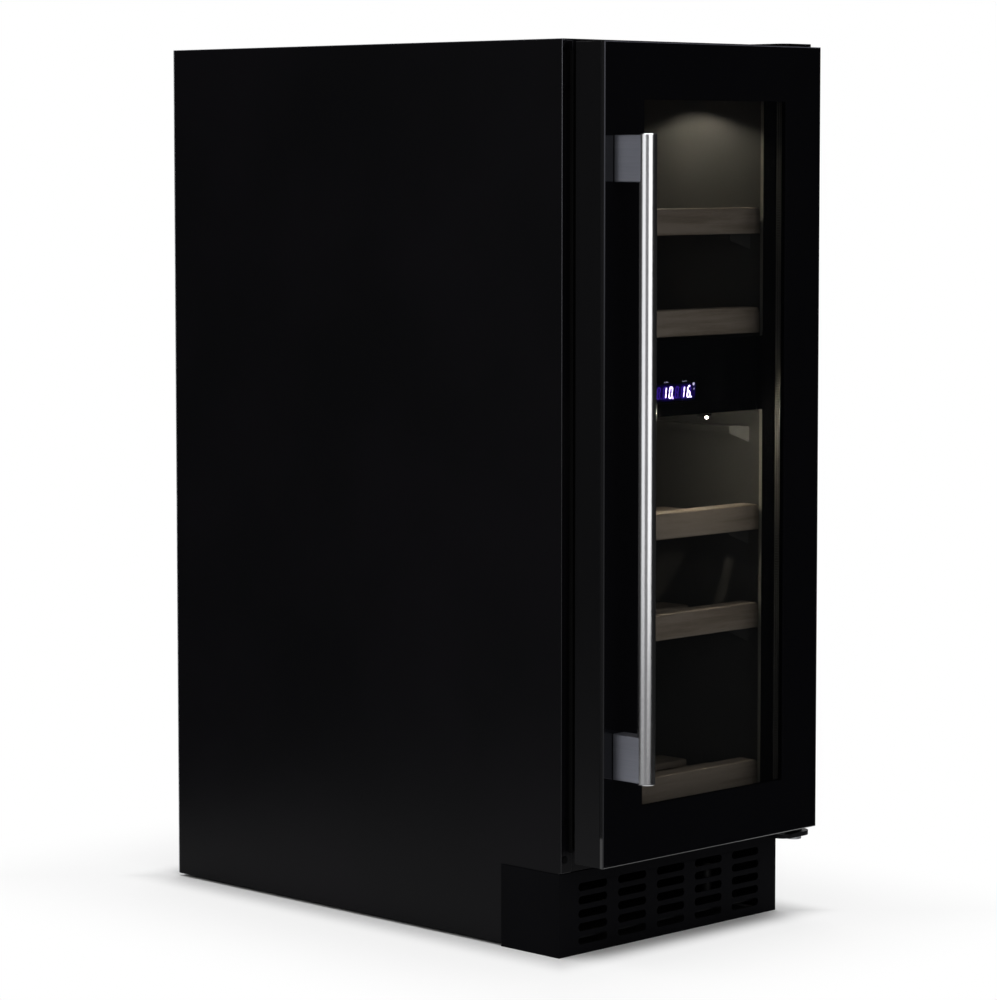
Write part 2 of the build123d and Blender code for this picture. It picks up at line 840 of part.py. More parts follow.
def hinge_screw_places():
    """The x and height of each hinge screw, two to a bracket."""
    xs = (hinge_screw_x, hinge_screw_x - hinge_screw_pitch)
    return [(x, z) for z in (top_screw_z(), bottom_screw_z()) for x in xs]


def plug_levels():
    """The heights of the spare hinge holes in the left flange, from the top down."""
    upper_z = top_screw_z()
    lower_z = bottom_screw_z()
    return [upper_z, upper_z - upper_plug_pitch, lower_z + lower_plug_pitch, lower_z]


def hinge_bracket(plate_z, tab_z, reach, corner):
    """A plate in front of the flange, bored for the pin, with a tab that is screwed to the flange."""
    x = (hinge_plate_x, hinge_edge_x)
    plate = block(x, (-reach, 0), plate_z)
    front_edges = plate.edges().filter_by(Axis.Z).group_by(Axis.Y)[0]
    bracket = fillet(front_edges, corner) + block(x, (-tab_thickness, 0), tab_z)
    bracket -= upright_rod(hinge_x, hinge_y, plate_z, pin_radius)
    for screw_x, screw_z in hinge_screw_places():
        bracket -= deep_rod(screw_x, (-tab_thickness, 0), screw_z, hinge_screw_radius)
    return bracket


def top_hinge_bracket():
    """The steel bracket that holds the upper pin."""
    tab_z = (top_tab_z - top_tab_height, top_tab_z)
    return hinge_bracket((top_tab_z, cabinet_height), tab_z, top_plate_reach, top_plate_corner)


def bottom_hinge_bracket():
    """The steel bracket that carries the door on the lower pin."""
    tab_z = (bottom_tab_z, bottom_tab_z + bottom_tab_height)
    return hinge_bracket((bottom_plate_z, bottom_tab_z), tab_z, bottom_plate_reach, bottom_plate_corner)


def hinge_pins():
    """The upper pin, flush with its plate, and the lower pin with a head under its plate."""
    upper = upright_rod(hinge_x, hinge_y, (door_top_z - pin_reach, cabinet_height), pin_radius)
    lower = upright_rod(hinge_x, hinge_y, (bottom_plate_z, door_bottom_z + pin_reach), pin_radius)
    head_z = (bottom_plate_z - pin_head_height, bottom_plate_z)
    lower += upright_rod(hinge_x, hinge_y, head_z, pin_head_radius)
    return [upper, lower]


def headed_fastener(x, z, front_y, head_height):
    """A domed head on the flange or on a tab, with a shank through the flange."""
    head = deep_rod(x, (front_y - head_height, front_y), z, hinge_screw_head_radius)
    rim = head.edges().filter_by(GeomType.CIRCLE).group_by(Axis.Y)[0]
    head = fillet(rim, head_height * head_round_share)
    return head + deep_rod(x, (front_y, sheet), z, hinge_screw_radius)


def hinge_screws():
    """The screws that hold both brackets."""
    return [headed_fastener(x, z, -tab_thickness, hinge_screw_head_height) for x, z in hinge_screw_places()]


def flange_plugs():
    """Plastic plugs in the spare hinge holes of the left flange."""
    return [headed_fastener(-hinge_screw_x, z, 0, plug_head_height) for z in plug_levels()]


def handle_screw_places():
    """The height of each handle screw."""
    return [middle + side * handle_screw_pitch / 2 for middle in bracket_middles() for side in (-1, 1)]


def bracket_middles():
    """The height of the middle of the lower and upper handle brackets."""
    inset = bracket_inset + bracket_height / 2
    return [handle_bottom_z + inset, handle_top_z - inset]


def drill_for_handle(piece, y):
    """The same piece with the handle screws' holes."""
    for level in handle_screw_places():
        piece -= deep_rod(handle_x, y, level, handle_screw_radius)
    return piece


def front_glass():
    """The full-size outer pane with bevelled front edges."""
    y = (glass_front_y, glass_back_y)
    pane = block(span(door_half), y, (door_bottom_z, door_top_z))
    pane = chamfer(pane.faces().sort_by(Axis.Y)[0].edges(), glass_bevel)
    return drill_for_handle(pane, y)


def glass_border():
    """The opaque enamel print on the back of the outer pane, round the clear window."""
    y = (glass_back_y, frame_front_y)
    outer = (door_half - glass_bevel, door_bottom_z + glass_bevel, door_top_z - glass_bevel)
    return drill_for_handle(frame_ring(outer, (window_half, window_low_z, window_high_z), y), y)


def hollow_bar(x, z, end_axis):
    """A hollow extrusion of the door frame; end_axis is the axis that it runs along."""
    y = (frame_front_y, door_back_y)
    bar = block(x, y, z)
    inner_y = (y[0] + stile_wall, y[1] - stile_wall)
    if end_axis == Axis.Z:
        return bar - block((x[0] + stile_wall, x[1] - stile_wall), inner_y, z)
    return bar - block(x, inner_y, (z[0] + stile_wall, z[1] - stile_wall))


def door_left_stile():
    """The handle-side upright of the door frame."""
    stile = hollow_bar((-door_half, -stile_inner_x), (door_bottom_z, door_top_z), Axis.Z)
    return drill_for_handle(stile, (frame_front_y, frame_front_y + stile_wall))


def door_right_stile():
    """The hinge-side upright of the door frame."""
    return hollow_bar((stile_inner_x, door_half), (door_bottom_z, door_top_z), Axis.Z)


def door_bottom_rail():
    """The bar between the stiles at the bottom."""
    return hollow_bar(span(stile_inner_x), (door_bottom_z, door_bottom_z + stile_width), Axis.X)


def door_top_rail():
    """The bar between the stiles at the top."""
    return hollow_bar(span(stile_inner_x), (door_top_z - stile_width, door_top_z), Axis.X)


def end_plug(x, z):
    """A plastic plug that fits into the end of a stile."""
    inset = stile_wall + bush_fit
    y = (frame_front_y + inset, door_back_y - inset)
    return block((x[0] + inset, x[1] - inset), y, z)


def stile_end_plugs():
    """The plugs in the stiles' ends; the right ones are bored for the pins and the lower has a collar."""
    low_z = (door_bottom_z, door_bottom_z + cap_height)
    high_z = (door_top_z - cap_height, door_top_z)
    left_x = (-door_half, -stile_inner_x)
    right_x = (stile_inner_x, door_half)
    collar_z = bottom_tab_z + bush_lift
    bore = upright_rod(hinge_x, hinge_y, (collar_z, door_top_z), pin_radius + pin_gap)
    collar = upright_rod(hinge_x, hinge_y, (collar_z, door_bottom_z), bush_collar_radius)
    lower_bush = end_plug(right_x, low_z) + collar - bore
    upper_bush = end_plug(right_x, high_z) - bore
    return [end_plug(left_x, low_z), end_plug(left_x, high_z), lower_bush, upper_bush]


def window_ring(grow):
    """The clear window grown evenly, as (half width, low z, high z)."""
    return (window_half + grow, window_low_z - grow, window_high_z + grow)


def glass_spacer():
    """The aluminium bar that holds the two panes apart."""
    y = (frame_front_y, frame_front_y + spacer_depth)
    return frame_ring(window_ring(spacer_reveal + spacer_width), window_ring(spacer_reveal), y)


def inner_glass():
    """The inner pane."""
    front_y = frame_front_y + spacer_depth
    half, low_z, high_z = window_ring(spacer_reveal + spacer_width)
    return block(span(half), (front_y, front_y + glass_thickness), (low_z, high_z))


def glazing_bead():
    """The plastic bead that holds the inner pane in the frame."""
    outer = (stile_inner_x - glazing_gap, door_bottom_z + stile_width + glazing_gap,
             door_top_z - stile_width - glazing_gap)
    inner = (outer[0] - bead_width, outer[1] + bead_width, outer[2] - bead_width)
    return frame_ring(outer, inner, (frame_front_y + spacer_depth + glass_thickness, door_back_y))


def gasket_ring(width, y):
    """One layer of the gasket, centred on its line."""
    line = gasket_inset + gasket_width / 2
    outer = line - width / 2
    inner = line + width / 2
    return frame_ring(
        (door_half - outer, door_bottom_z + outer, door_top_z - outer),
        (door_half - inner, door_bottom_z + inner, door_top_z - inner),
        y,
    )


def door_gasket():
    """The rubber seal: a foot in the frame, a narrow bellows and a wide magnetic head."""
    back_y = -gasket_clearance
    foot = gasket_ring(gasket_width, (door_back_y, door_back_y + gasket_foot))
    waist = gasket_ring(gasket_waist, (door_back_y + gasket_foot, back_y - gasket_head))
    head = gasket_ring(gasket_width, (back_y - gasket_head, back_y))
    return foot + waist + head


def handle_bar():
    """The round steel bar."""
    bar = upright_rod(handle_x, handle_y, (handle_bottom_z, handle_top_z), handle_radius)
    return chamfer(bar.edges().filter_by(GeomType.CIRCLE), handle_end_bevel)


def handle_bracket(middle_z):
    """A flat steel standoff between the glass and the bar, hollowed to seat the bar."""
    x = (handle_x - bracket_width / 2, handle_x + bracket_width / 2)
    z = (middle_z - bracket_height / 2, middle_z + bracket_height / 2)
    bracket = block(x, (handle_y, glass_front_y), z)
    bracket = chamfer(bracket.edges().filter_by(Axis.Y), bracket_edge)
    bracket -= upright_rod(handle_x, handle_y, z, handle_radius)
    for level in handle_screw_places():
        screw_y = (glass_back_y - handle_screw_length, glass_front_y)
        bracket -= deep_rod(handle_x, screw_y, level, handle_screw_radius)
    return bracket


def handle_screws():
    """Screws from inside the left stile, through the glass, into the brackets."""
    head_y = frame_front_y + stile_wall
    screws = []
    for level in handle_screw_places():
        shank = deep_rod(handle_x, (glass_back_y - handle_screw_length, head_y), level, handle_screw_radius)
        head_span = (head_y, head_y + handle_screw_head_height)
        screws.append(shank + deep_rod(handle_x, head_span, level, handle_screw_head_radius))
    return screws


def shelf_places():
    """The bottom and the back of each shelf, from the top down; the lowest stops before the machine bay."""
    return [
        (upper_shelf_z + shelf_pitch, shelf_back_y),
        (upper_shelf_z, shelf_back_y),
        (lower_shelf_z, shelf_back_y),
        (lower_shelf_z - shelf_pitch, shelf_back_y),
        (lower_floor_z + floor_shelf_lift, short_shelf_back_y),
    ]


def shelf_front(level):
    """The wooden front rail of a shelf, with rounded top corners and eased front edges."""
    y = (shelf_front_y, shelf_front_y + shelf_front_thickness)
    rail = block(span(shelf_half_width), y, (level, level + shelf_front_height))
    rail = fillet(rail.edges().filter_by(Axis.Y).group_by(Axis.Z)[-1], shelf_corner_radius)
    return fillet(rail.faces().sort_by(Axis.Y)[0].edges(), shelf_edge_radius)


def shelf(level, back_y):
    """A shelf: its front rail, two side rails that slide on the runners, and slats across them."""
    front_y = shelf_front_y + shelf_front_thickness
    rail_z = (level, level + rack_rail_height)
    slat_z = (rail_z[1], rail_z[1] + slat_thickness)
    pieces = [shelf_front(level)]
    for side in (-1, 1):
        rail_x = (side * (shelf_half_width - rack_rail_width), side * shelf_half_width)
        pieces.append(block(rail_x, (front_y, back_y), rail_z))
    slats = round((back_y - front_y) / slat_pitch)
    pitch = (back_y - front_y) / slats
    for index in range(slats):
        middle = front_y + (index + 0.5) * pitch
        slat = block(span(shelf_half_width), (middle - slat_width / 2, middle + slat_width / 2), slat_z)
        pieces.append(fillet(slat.edges().filter_by(Axis.X).group_by(Axis.Z)[-1], slat_edge_radius))
    return pieces


def all_nodes():
    """Every piece or group of like pieces under its name."""
    upper_fan, lower_fan, condenser_fan = fan_places()
    lower_bracket, upper_bracket = bracket_middles()
    nodes = {
        "left_side_panel": side_panel(-1, plug_levels()),
        "right_side_panel": side_panel(1, (top_screw_z(), bottom_screw_z())),
        "top_panel": top_panel(),
        "back_panel": back_panel(),
        "machine_bay_cover": machine_bay_cover(),
        "base_pan": base_pan(),
        "front_sill": front_sill(),
        "breaker_strips": breaker_strips(),
        "foam_insulation": foam_insulation(),
        "upper_liner": upper_liner(),
        "lower_liner": lower_liner(),
        "shelf_runners": shelf_runners(),
        "divider_housing": divider_housing(),
        "control_fascia": control_fascia(),
        "display_window": display_window(),
        "control_board": control_board(),
        "light_lenses": light_lenses(),
        "upper_duct_cover": duct_cover(upper_zone_z(), upper_fan[2]),
        "lower_duct_cover": duct_cover(lower_zone_z(), lower_fan[2]),
        "evaporators": [evaporator(upper_zone_z()), evaporator(lower_zone_z())],
        "fan_frames": [fan_frame(*place) for place in fan_places()],
        "upper_fan_rotor": fan_rotor(*upper_fan),
        "lower_fan_rotor": fan_rotor(*lower_fan),
        "condenser_fan_rotor": fan_rotor(*condenser_fan),
        "compressor": compressor(),
        "compressor_mounts": compressor_mounts(),
        "terminal_box": terminal_box(),
        "drip_tray": drip_tray(),
        "drain_tube": drain_tube(),
        "condenser_coil": condenser_coil(),
        "condenser_supports": condenser_supports(),
        "filter_drier": filter_drier(),
        "refrigerant_pipes": refrigerant_pipes(),
        "mains_inlet": mains_inlet(),
        "plinth_grille": plinth_grille(),
        "top_hinge_bracket": top_hinge_bracket(),
        "bottom_hinge_bracket": bottom_hinge_bracket(),
        "hinge_pins": hinge_pins(),
        "hinge_screws": hinge_screws(),
        "flange_plugs": flange_plugs(),
        "front_glass": front_glass(),
        "glass_border": glass_border(),
        "door_frame": [door_left_stile(), door_right_stile(), door_bottom_rail(), door_top_rail()],
        "stile_end_plugs": stile_end_plugs(),
        "glass_spacer": glass_spacer(),
        "inner_glass": inner_glass(),
        "glazing_bead": glazing_bead(),
        "door_gasket": door_gasket(),
        "handle_bar": handle_bar(),
        "handle_brackets": [handle_bracket(lower_bracket), handle_bracket(upper_bracket)],
        "handle_screws": handle_screws(),
    }
    for index, place in enumerate(shelf_places(), start=1):
        nodes[f"shelf_{index}"] = shelf(*place)
    for name, place in zip(("front_left", "front_right", "back_left", "back_right"), foot_places()):
        nodes[f"{name}_foot"] = levelling_foot(*place)
    return nodes


def write_nodes():
    """Move every piece so that the origin lies under the middle of the box, and write it."""
    os.makedirs("parts", exist_ok=True)
    for name, shape in all_nodes().items():
        pieces = shape if isinstance(shape, list) else [shape]
        solids = [Pos(0, -centre_y, 0) * solid for piece in pieces for solid in piece.solids()]
        export_step(Compound(children=solids), f"parts/{name}.step")


write_nodes()
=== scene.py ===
import math

import bmesh
import bpy
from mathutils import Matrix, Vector


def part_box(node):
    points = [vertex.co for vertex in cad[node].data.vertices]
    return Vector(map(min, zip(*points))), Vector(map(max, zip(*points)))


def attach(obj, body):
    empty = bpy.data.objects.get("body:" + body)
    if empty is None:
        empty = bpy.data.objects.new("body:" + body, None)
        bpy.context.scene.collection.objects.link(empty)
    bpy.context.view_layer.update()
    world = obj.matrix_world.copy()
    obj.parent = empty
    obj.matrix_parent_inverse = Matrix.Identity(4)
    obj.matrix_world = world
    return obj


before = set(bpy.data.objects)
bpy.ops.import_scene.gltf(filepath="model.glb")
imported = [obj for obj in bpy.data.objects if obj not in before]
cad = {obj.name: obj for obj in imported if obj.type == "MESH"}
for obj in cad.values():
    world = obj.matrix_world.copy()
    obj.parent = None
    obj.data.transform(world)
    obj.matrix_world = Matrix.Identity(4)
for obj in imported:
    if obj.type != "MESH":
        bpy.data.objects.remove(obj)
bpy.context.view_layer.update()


# The camera looks at the cooler from its front left, through a long lens, from a little below its top.
# Its place and turn were fitted to the corners of the cabinet and the door. A small shift of the lens
# keeps the upright edges nearly parallel.
def in_scene(name, data):
    """A new object, linked to the scene."""
    thing = bpy.data.objects.new(name, data)
    bpy.context.scene.collection.objects.link(thing)
    return thing


camera_data = bpy.data.cameras.new("camera")
camera_data.lens = 129.518
camera_data.shift_y = -0.07
camera_data.sensor_width = 36
camera = in_scene("camera", camera_data)
camera.location = (-2.43475, -2.42248, 0.71908)
camera.rotation_euler = (math.radians(85.6054), 0, math.radians(-45.0615))
bpy.context.scene.camera = camera
bpy.context.scene.view_settings.view_transform = "Standard"


# The room round the cooler is white to the camera and through glass. In reflections only the wall behind
# the cooler is white and the wall at its left is pale; the rest is dark, so that black sheets stay black.
class Value:
    """A number or colour that changes over a surface; arithmetic on it adds Math nodes."""

    def __init__(self, nodes, socket):
        self.nodes = nodes
        self.socket = socket

    def math(self, operation, first, second=0.0):
        return self.nodes.node("Math", {"operation": operation}, {0: first, 1: second})

    def __add__(self, other):
        return self.math("ADD", self, other)

    __radd__ = __add__

    def __sub__(self, other):
        return self.math("SUBTRACT", self, other)

    def __rsub__(self, other):
        return self.math("SUBTRACT", other, self)

    def __mul__(self, other):
        return self.math("MULTIPLY", self, other)

    __rmul__ = __mul__

    def __truediv__(self, other):
        return self.math("DIVIDE", self, other)

    def __rtruediv__(self, other):
        return self.math("DIVIDE", other, self)

    def __abs__(self):
        return self.math("ABSOLUTE", self)

    def most(self, other):
        """The larger of two values."""
        return self.math("MAXIMUM", self, other)

    def fraction(self):
        """What is left over whole numbers, for a pattern that repeats."""
        return self.math("FRACT", self)


class Nodes:
    """A node tree; node() adds one node to it and hands back one of that node's outputs."""

    def __init__(self, tree):
        self.tree = tree

    def node(self, kind, settings=None, sockets=None, output=0):
        node = self.tree.nodes.new("ShaderNode" + kind)
        for name, value in (settings or {}).items():
            setattr(node, name, value)
        for name, value in (sockets or {}).items():
            self.join(value, node.inputs[name])
        return Value(self, node.outputs[output])

    def join(self, value, socket):
        """Link a value that changes to a socket, or set the socket to a fixed one."""
        if isinstance(value, Value):
            self.tree.links.new(value.socket, socket)
        else:
            socket.default_value = value

    def mix(self, share, first, second):
        """One colour turning into another."""
        return self.node("Mix", {"data_type": "RGBA"}, {0: share, 6: first, 7: second}, 2)

    def ramp(self, value, low, high, to_low=0.0, to_high=1.0):
        """A value carried smoothly from one range to another and held at its ends."""
        limits = {1: low, 2: high, 3: to_low, 4: to_high}
        return self.node("MapRange", {"interpolation_type": "SMOOTHSTEP"}, {0: value, **limits})

    def ray(self, kind):
        """1 on rays of one kind, such as Camera or Glossy, and 0 on the others."""
        return self.node("LightPath", output=f"Is {kind} Ray")


white = (1, 1, 1, 1)
back_heading = 45
back_edges = (0.80, 0.95)
left_heading = 195
left_edges = (0.20, 0.90)
left_sheen = 0.30
dark_sheen = 0.012
plain_level = 0.30

world = bpy.data.worlds.new("studio")
bpy.context.scene.world = world
world.use_nodes = True
room = Nodes(world.node_tree)


def wall(heading, edges):
    """The wall at a level heading in degrees, fading between two cosines of the angle from its middle."""
    along = (math.cos(math.radians(heading)), math.sin(math.radians(heading)), 0)
    direction = room.node("TexCoord", output="Generated")
    facing = room.node("VectorMath", {"operation": "DOT_PRODUCT"}, {0: direction, 1: along}, "Value")
    return room.ramp(facing, *edges)


seen = room.ray("Camera").most(room.ray("Transmission"))
glossy = room.ray("Glossy")
sheen = wall(back_heading, back_edges).most(wall(left_heading, left_edges) * left_sheen + dark_sheen)
mirrored = glossy * sheen
plain = (1 - seen.most(glossy)) * plain_level
background = world.node_tree.nodes["Background"]
background.inputs["Color"].default_value = white
room.join(seen.most(mirrored).most(plain), background.inputs["Strength"])


# The floor is a round sheet of white paper under the cooler. Below the base its colour is painted dark, a
# painted shadow where hardly any light gets, and away from the base it fades into the white of the room.
def shade(red, green, blue):
    """A colour as it shows on a screen, 0 to 255, as the shader's own linear colour."""
    parts = [channel / 255 for channel in (red, green, blue)]
    return [part / 12.92 if part <= 0.04045 else ((part + 0.055) / 1.055) ** 2.4 for part in parts] + [1.0]


class Finish(Nodes):
    """A material with one Principled shader; constants are its fixed sockets."""

    def __init__(self, name, constants):
        self.material = bpy.data.materials.new(name)
        self.material.use_nodes = True
        super().__init__(self.material.node_tree)
        self.shader = self.tree.nodes["Principled BSDF"]
        self.feed(constants)

    def feed(self, sockets):
        for name, value in sockets.items():
            self.join(value, self.shader.inputs[name])

    def place(self):
        return self.node("TexCoord", output="Object")

    def axis(self, name):
        """One coordinate of the place on the piece."""
        return self.node("SeparateXYZ", sockets={"Vector": self.place()}, output=name)

    def noise(self, scale, detail=2.0, roughness=0.5, stretch=None):
        """Soft random patches; a stretch squeezes them along each axis, into grain or brush lines."""
        place = self.place()
        if stretch:
            place = self.node("Mapping", sockets={"Vector": place, "Scale": stretch})
        sockets = {"Vector": place, "Scale": scale, "Detail": detail, "Roughness": roughness}
        return self.node("TexNoise", sockets=sockets)

    def bumps(self, height, depth):
        return self.node("Bump", sockets={"Height": height, "Distance": depth})


def disc(radius, sides):
    """The corners of a regular polygon round the origin."""
    turns = [2 * math.pi * index / sides for index in range(sides)]
    return [(radius * math.cos(turn), radius * math.sin(turn)) for turn in turns]


floor_radius = 0.60
floor_sides = 96
base_half_width = 0.149
base_half_depth = 0.266
base_middle_y = 0.046
painted_shadow_edge = (-0.012, -0.002)
near_fade = (0.0, 0.05)
far_fade = (0.04, 0.26)
near_share = 0.72

floor_mesh = bpy.data.meshes.new("studio_floor")
rim = [(x, y, 0) for x, y in disc(floor_radius, floor_sides)]
floor_mesh.from_pydata(rim, [], [range(floor_sides)])
floor = in_scene("studio_floor", floor_mesh)

paper = Finish("studio_floor", {"Roughness": 0.7, "Specular IOR Level": 0.2})
beside_x = abs(paper.axis("X")) - base_half_width
beside_y = abs(paper.axis("Y") - base_middle_y) - base_half_depth
beside = beside_x.most(beside_y)
# The dark patch under the base is a painted shadow.
paper_and_painted_shadow = paper.mix(paper.ramp(beside, *painted_shadow_edge), shade(40, 40, 40), shade(246, 246, 246))
paper.feed({"Base Color": paper_and_painted_shadow})
fade = near_share * paper.ramp(beside, *near_fade) + (1 - near_share) * paper.ramp(beside, *far_fade)
seen_floor = paper.ray("Camera").most(paper.ray("Glossy")).most(paper.ray("Transmission"))
lit_paper = Value(paper, paper.shader.outputs[0])
glow = paper.node("Emission", sockets={"Color": white, "Strength": 1.0})
surface = paper.node("MixShader", sockets={0: fade * seen_floor, 1: lit_paper, 2: glow})
paper.join(surface, paper.tree.nodes["Material Output"].inputs["Surface"])
floor_mesh.materials.append(paper.material)


# Three lamps light the cooler: a large one under the ceiling, and two tall softboxes in front of it and at
# its left. The softboxes are aimed at the round handle and draw broad bands on it.
def softbox(name, place, aim, width, height, watts):
    """A rectangular lamp that faces the point it is aimed at."""
    data = bpy.data.lights.new(name, "AREA")
    data.shape = "RECTANGLE"
    data.size = width
    data.size_y = height
    data.energy = watts
    lamp = in_scene(name, data)
    lamp.location = place
    lamp.rotation_euler = (Vector(aim) - Vector(place)).to_track_quat("-Z", "Y").to_euler()
    lamp.visible_camera = False


handle_aim = (-0.126, -0.30, 0.9)
softbox("ceiling_light", (0, 0, 2.7), (0, 0, 0), width=2.4, height=2.4, watts=58)
softbox("front_softbox", (-0.70, -2.43, 0.9), handle_aim, width=1.9, height=1.8, watts=21.5)
softbox("left_softbox", (-2.30, 0.04, 0.9), handle_aim, width=1.78, height=1.8, watts=13.0)


# The cabinet's outer sheets and its base pan are steel, folded at the edges and coated in satin black
# powder. The sheets are foamed in place, so no fixing shows. The coat has a fine peel. The rounded folds of
# the side sheets are painted pale, a painted highlight, brightest near the top as if lit from above.
def dress(finish, *names):
    """Give a finish to CAD nodes."""
    for name in names:
        materials = cad[name].data.materials
        materials.clear()
        materials.append(finish.material)


def ease(*names, width, finish=None):
    """Round the sharp edges of CAD nodes by a bevel, which can have a finish of its own."""
    for name in names:
        weld = cad[name].modifiers.new("weld", "WELD")
        weld.merge_threshold = 0.00001
        bevel = cad[name].modifiers.new("eased_edges", "BEVEL")
        bevel.width = width
        bevel.segments = 2
        bevel.limit_method = "ANGLE"
        bevel.angle_limit = math.radians(50)
        bevel.harden_normals = True
        if finish:
            cad[name].data.materials.append(finish.material)
            bevel.material = 1


def sprayed(name, roughness, specular):
    """Sprayed and baked paint with a fine peel, and the slow cloud that its gloss and tone follow."""
    coat = Finish(name, {"Specular IOR Level": specular})
    cloud = coat.noise(scale=5.0, detail=3.0)
    peel = coat.noise(scale=1400.0, detail=1.0)
    coat.feed({"Roughness": roughness + 0.10 * cloud, "Normal": coat.bumps(peel, depth=0.00003)})
    return coat, cloud


def powder_coat(name, dark, light, roughness, specular):
    """Sprayed paint that drifts between two tones."""
    coat, cloud = sprayed(name, roughness, specular)
    coat.feed({"Base Color": coat.mix(coat.ramp(cloud, low=0.35, high=0.7), dark, light)})
    return coat


satin_black = powder_coat("satin_black_paint", shade(8, 8, 10), shade(11, 10, 13),
                          roughness=0.34, specular=0.06)
# The folds' own coat is a painted highlight: pale, and paler towards the top, where light from above falls.
highlit_fold, _ = sprayed("thin_black_paint", roughness=0.26, specular=0.3)
scuff = highlit_fold.noise(scale=60.0, detail=3.0)
fold_highlight_low = highlit_fold.mix(scuff, shade(18, 18, 20), shade(28, 28, 31))
fold_highlight_high = highlit_fold.mix(scuff, shade(78, 78, 84), shade(96, 96, 102))
lit_from_above = highlit_fold.ramp(highlit_fold.axis("Z"), low=0.36, high=0.84)
highlit_fold.feed({"Base Color": highlit_fold.mix(lit_from_above, fold_highlight_low, fold_highlight_high)})
dress(satin_black, "left_side_panel", "right_side_panel", "top_panel", "front_sill", "base_pan")
ease("left_side_panel", "right_side_panel", width=0.0010, finish=highlit_fold)
ease("top_panel", "front_sill", width=0.0006)


# The back sheet and the machine bay cover are hot-dip galvanised steel, left unpainted and screwed on.
# The zinc has frozen into grey spangles that differ a little in tone and gloss, with a few dull stains.
zinc = Finish("galvanised_sheet", {"Metallic": 0.9})
spangle = zinc.node("TexVoronoi", sockets={"Vector": zinc.place(), "Scale": 170.0}, output="Color")
spangle_tone = zinc.node("SeparateColor", sockets={"Color": spangle})
frost = zinc.noise(scale=700.0, detail=3.0)
stain = zinc.noise(scale=9.0, detail=5.0, roughness=0.6)
stain_share = 0.5
clean_zinc = zinc.mix(zinc.ramp(spangle_tone, 0.0, 1.0), shade(144, 147, 150), shade(166, 169, 172))
stained = zinc.ramp(stain, low=0.55, high=0.8) * stain_share
zinc.feed({
    "Base Color": zinc.mix(stained, clean_zinc, shade(126, 127, 126)),
    "Roughness": 0.34 + 0.16 * spangle_tone + 0.08 * stain,
    "Normal": zinc.bumps(frost, depth=0.00004),
})
dress(zinc, "back_panel", "machine_bay_cover")
ease("back_panel", "machine_bay_cover", width=0.0003)


# Polyurethane foam is blown between the sheets and the liners and sets hard; it is pale yellow, with fine
# cells. It also holds the liners, so nothing else fixes them.
foam = Finish("insulating_foam", {"Specular IOR Level": 0.2, "Roughness": 0.95})
cell = foam.node("TexVoronoi", sockets={"Vector": foam.place(), "Scale": 900.0}, output="Distance")
foam.feed({
    "Base Color": foam.mix(cell, shade(214, 196, 140), shade(240, 228, 186)),
    "Normal": foam.bumps(cell, depth=0.0002),
})
dress(foam, "foam_insulation")


# The liner tubs, the shelf runners and the duct covers are grey polystyrene, drawn or moulded with a fine
# grain. The tubs' front rim is painted pale as a highlight; the runners and the duct covers clip into the
# tubs.
liner = Finish("grey_liner_plastic", {"Specular IOR Level": 0.35})
liner_grain = liner.noise(scale=1600.0)
liner_cloud = liner.noise(scale=18.0, detail=3.0)
liner_tone = liner.mix(liner_cloud, shade(74, 74, 72), shade(84, 84, 82))
# The pale band along the tubs' front rim is a painted highlight of the light that falls on it.
highlight_rim_width = 0.0040
highlight_rim_blend = 0.0005
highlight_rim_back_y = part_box("lower_liner")[0].y + highlight_rim_width
painted_rim_highlight = liner.ramp(liner.axis("Y"), low=highlight_rim_back_y, high=highlight_rim_back_y - highlight_rim_blend)
liner.feed({
    "Base Color": liner.mix(painted_rim_highlight, liner_tone, shade(156, 156, 147)),
    "Roughness": 0.38 + 0.14 * liner_grain,
    "Normal": liner.bumps(liner_grain, depth=0.00004),
})
dress(liner, "upper_liner", "lower_liner", "shelf_runners", "upper_duct_cover", "lower_duct_cover")
ease("upper_duct_cover", "lower_duct_cover", width=0.0008)


# Black plastic strips close the rim of the opening, between the liners and the steel folds, and plugs fill
# the spare hinge holes. Both are matt, with the grain of their moulds, and snap into the steel.
def moulded(name, dark, light, specular):
    """Moulded plastic with a fine grain and slow changes of tone."""
    plastic = Finish(name, {"Specular IOR Level": specular})
    grain = plastic.noise(scale=1500.0)
    cloud = plastic.noise(scale=25.0, detail=3.0)
    plastic.feed({
        "Base Color": plastic.mix(cloud, dark, light),
        "Roughness": 0.45 + 0.18 * grain,
        "Normal": plastic.bumps(grain, depth=0.00005),
    })
    return plastic


matt_black = moulded("matt_black_plastic", shade(2, 2, 3), shade(4, 4, 5), specular=0.03)
dress(matt_black, "breaker_strips", "flange_plugs")
ease("breaker_strips", "flange_plugs", width=0.0004)


# The housing between the zones is a box of black moulded plastic, open at its front. It holds the controls
# and is fixed between the two liner tubs.
black_plastic = moulded("black_moulded_plastic", shade(8, 8, 9), shade(13, 13, 14), specular=0.25)
dress(black_plastic, "divider_housing")


# The control fascia is a gloss black moulding that snaps over the front of the housing.
# Cleaning has left faint wipe marks along it.
gloss_black = Finish("gloss_black_plastic", {"Specular IOR Level": 0.4})
wipe = gloss_black.noise(scale=6.0, detail=4.0, stretch=(4, 30, 30))
ripple = gloss_black.noise(scale=90.0)
gloss_black.feed({
    "Base Color": gloss_black.mix(wipe, shade(5, 5, 6), shade(9, 9, 11)),
    "Roughness": 0.06 + 0.10 * wipe,
    "Normal": gloss_black.bumps(ripple, depth=0.00002),
})
dress(gloss_black, "control_fascia")


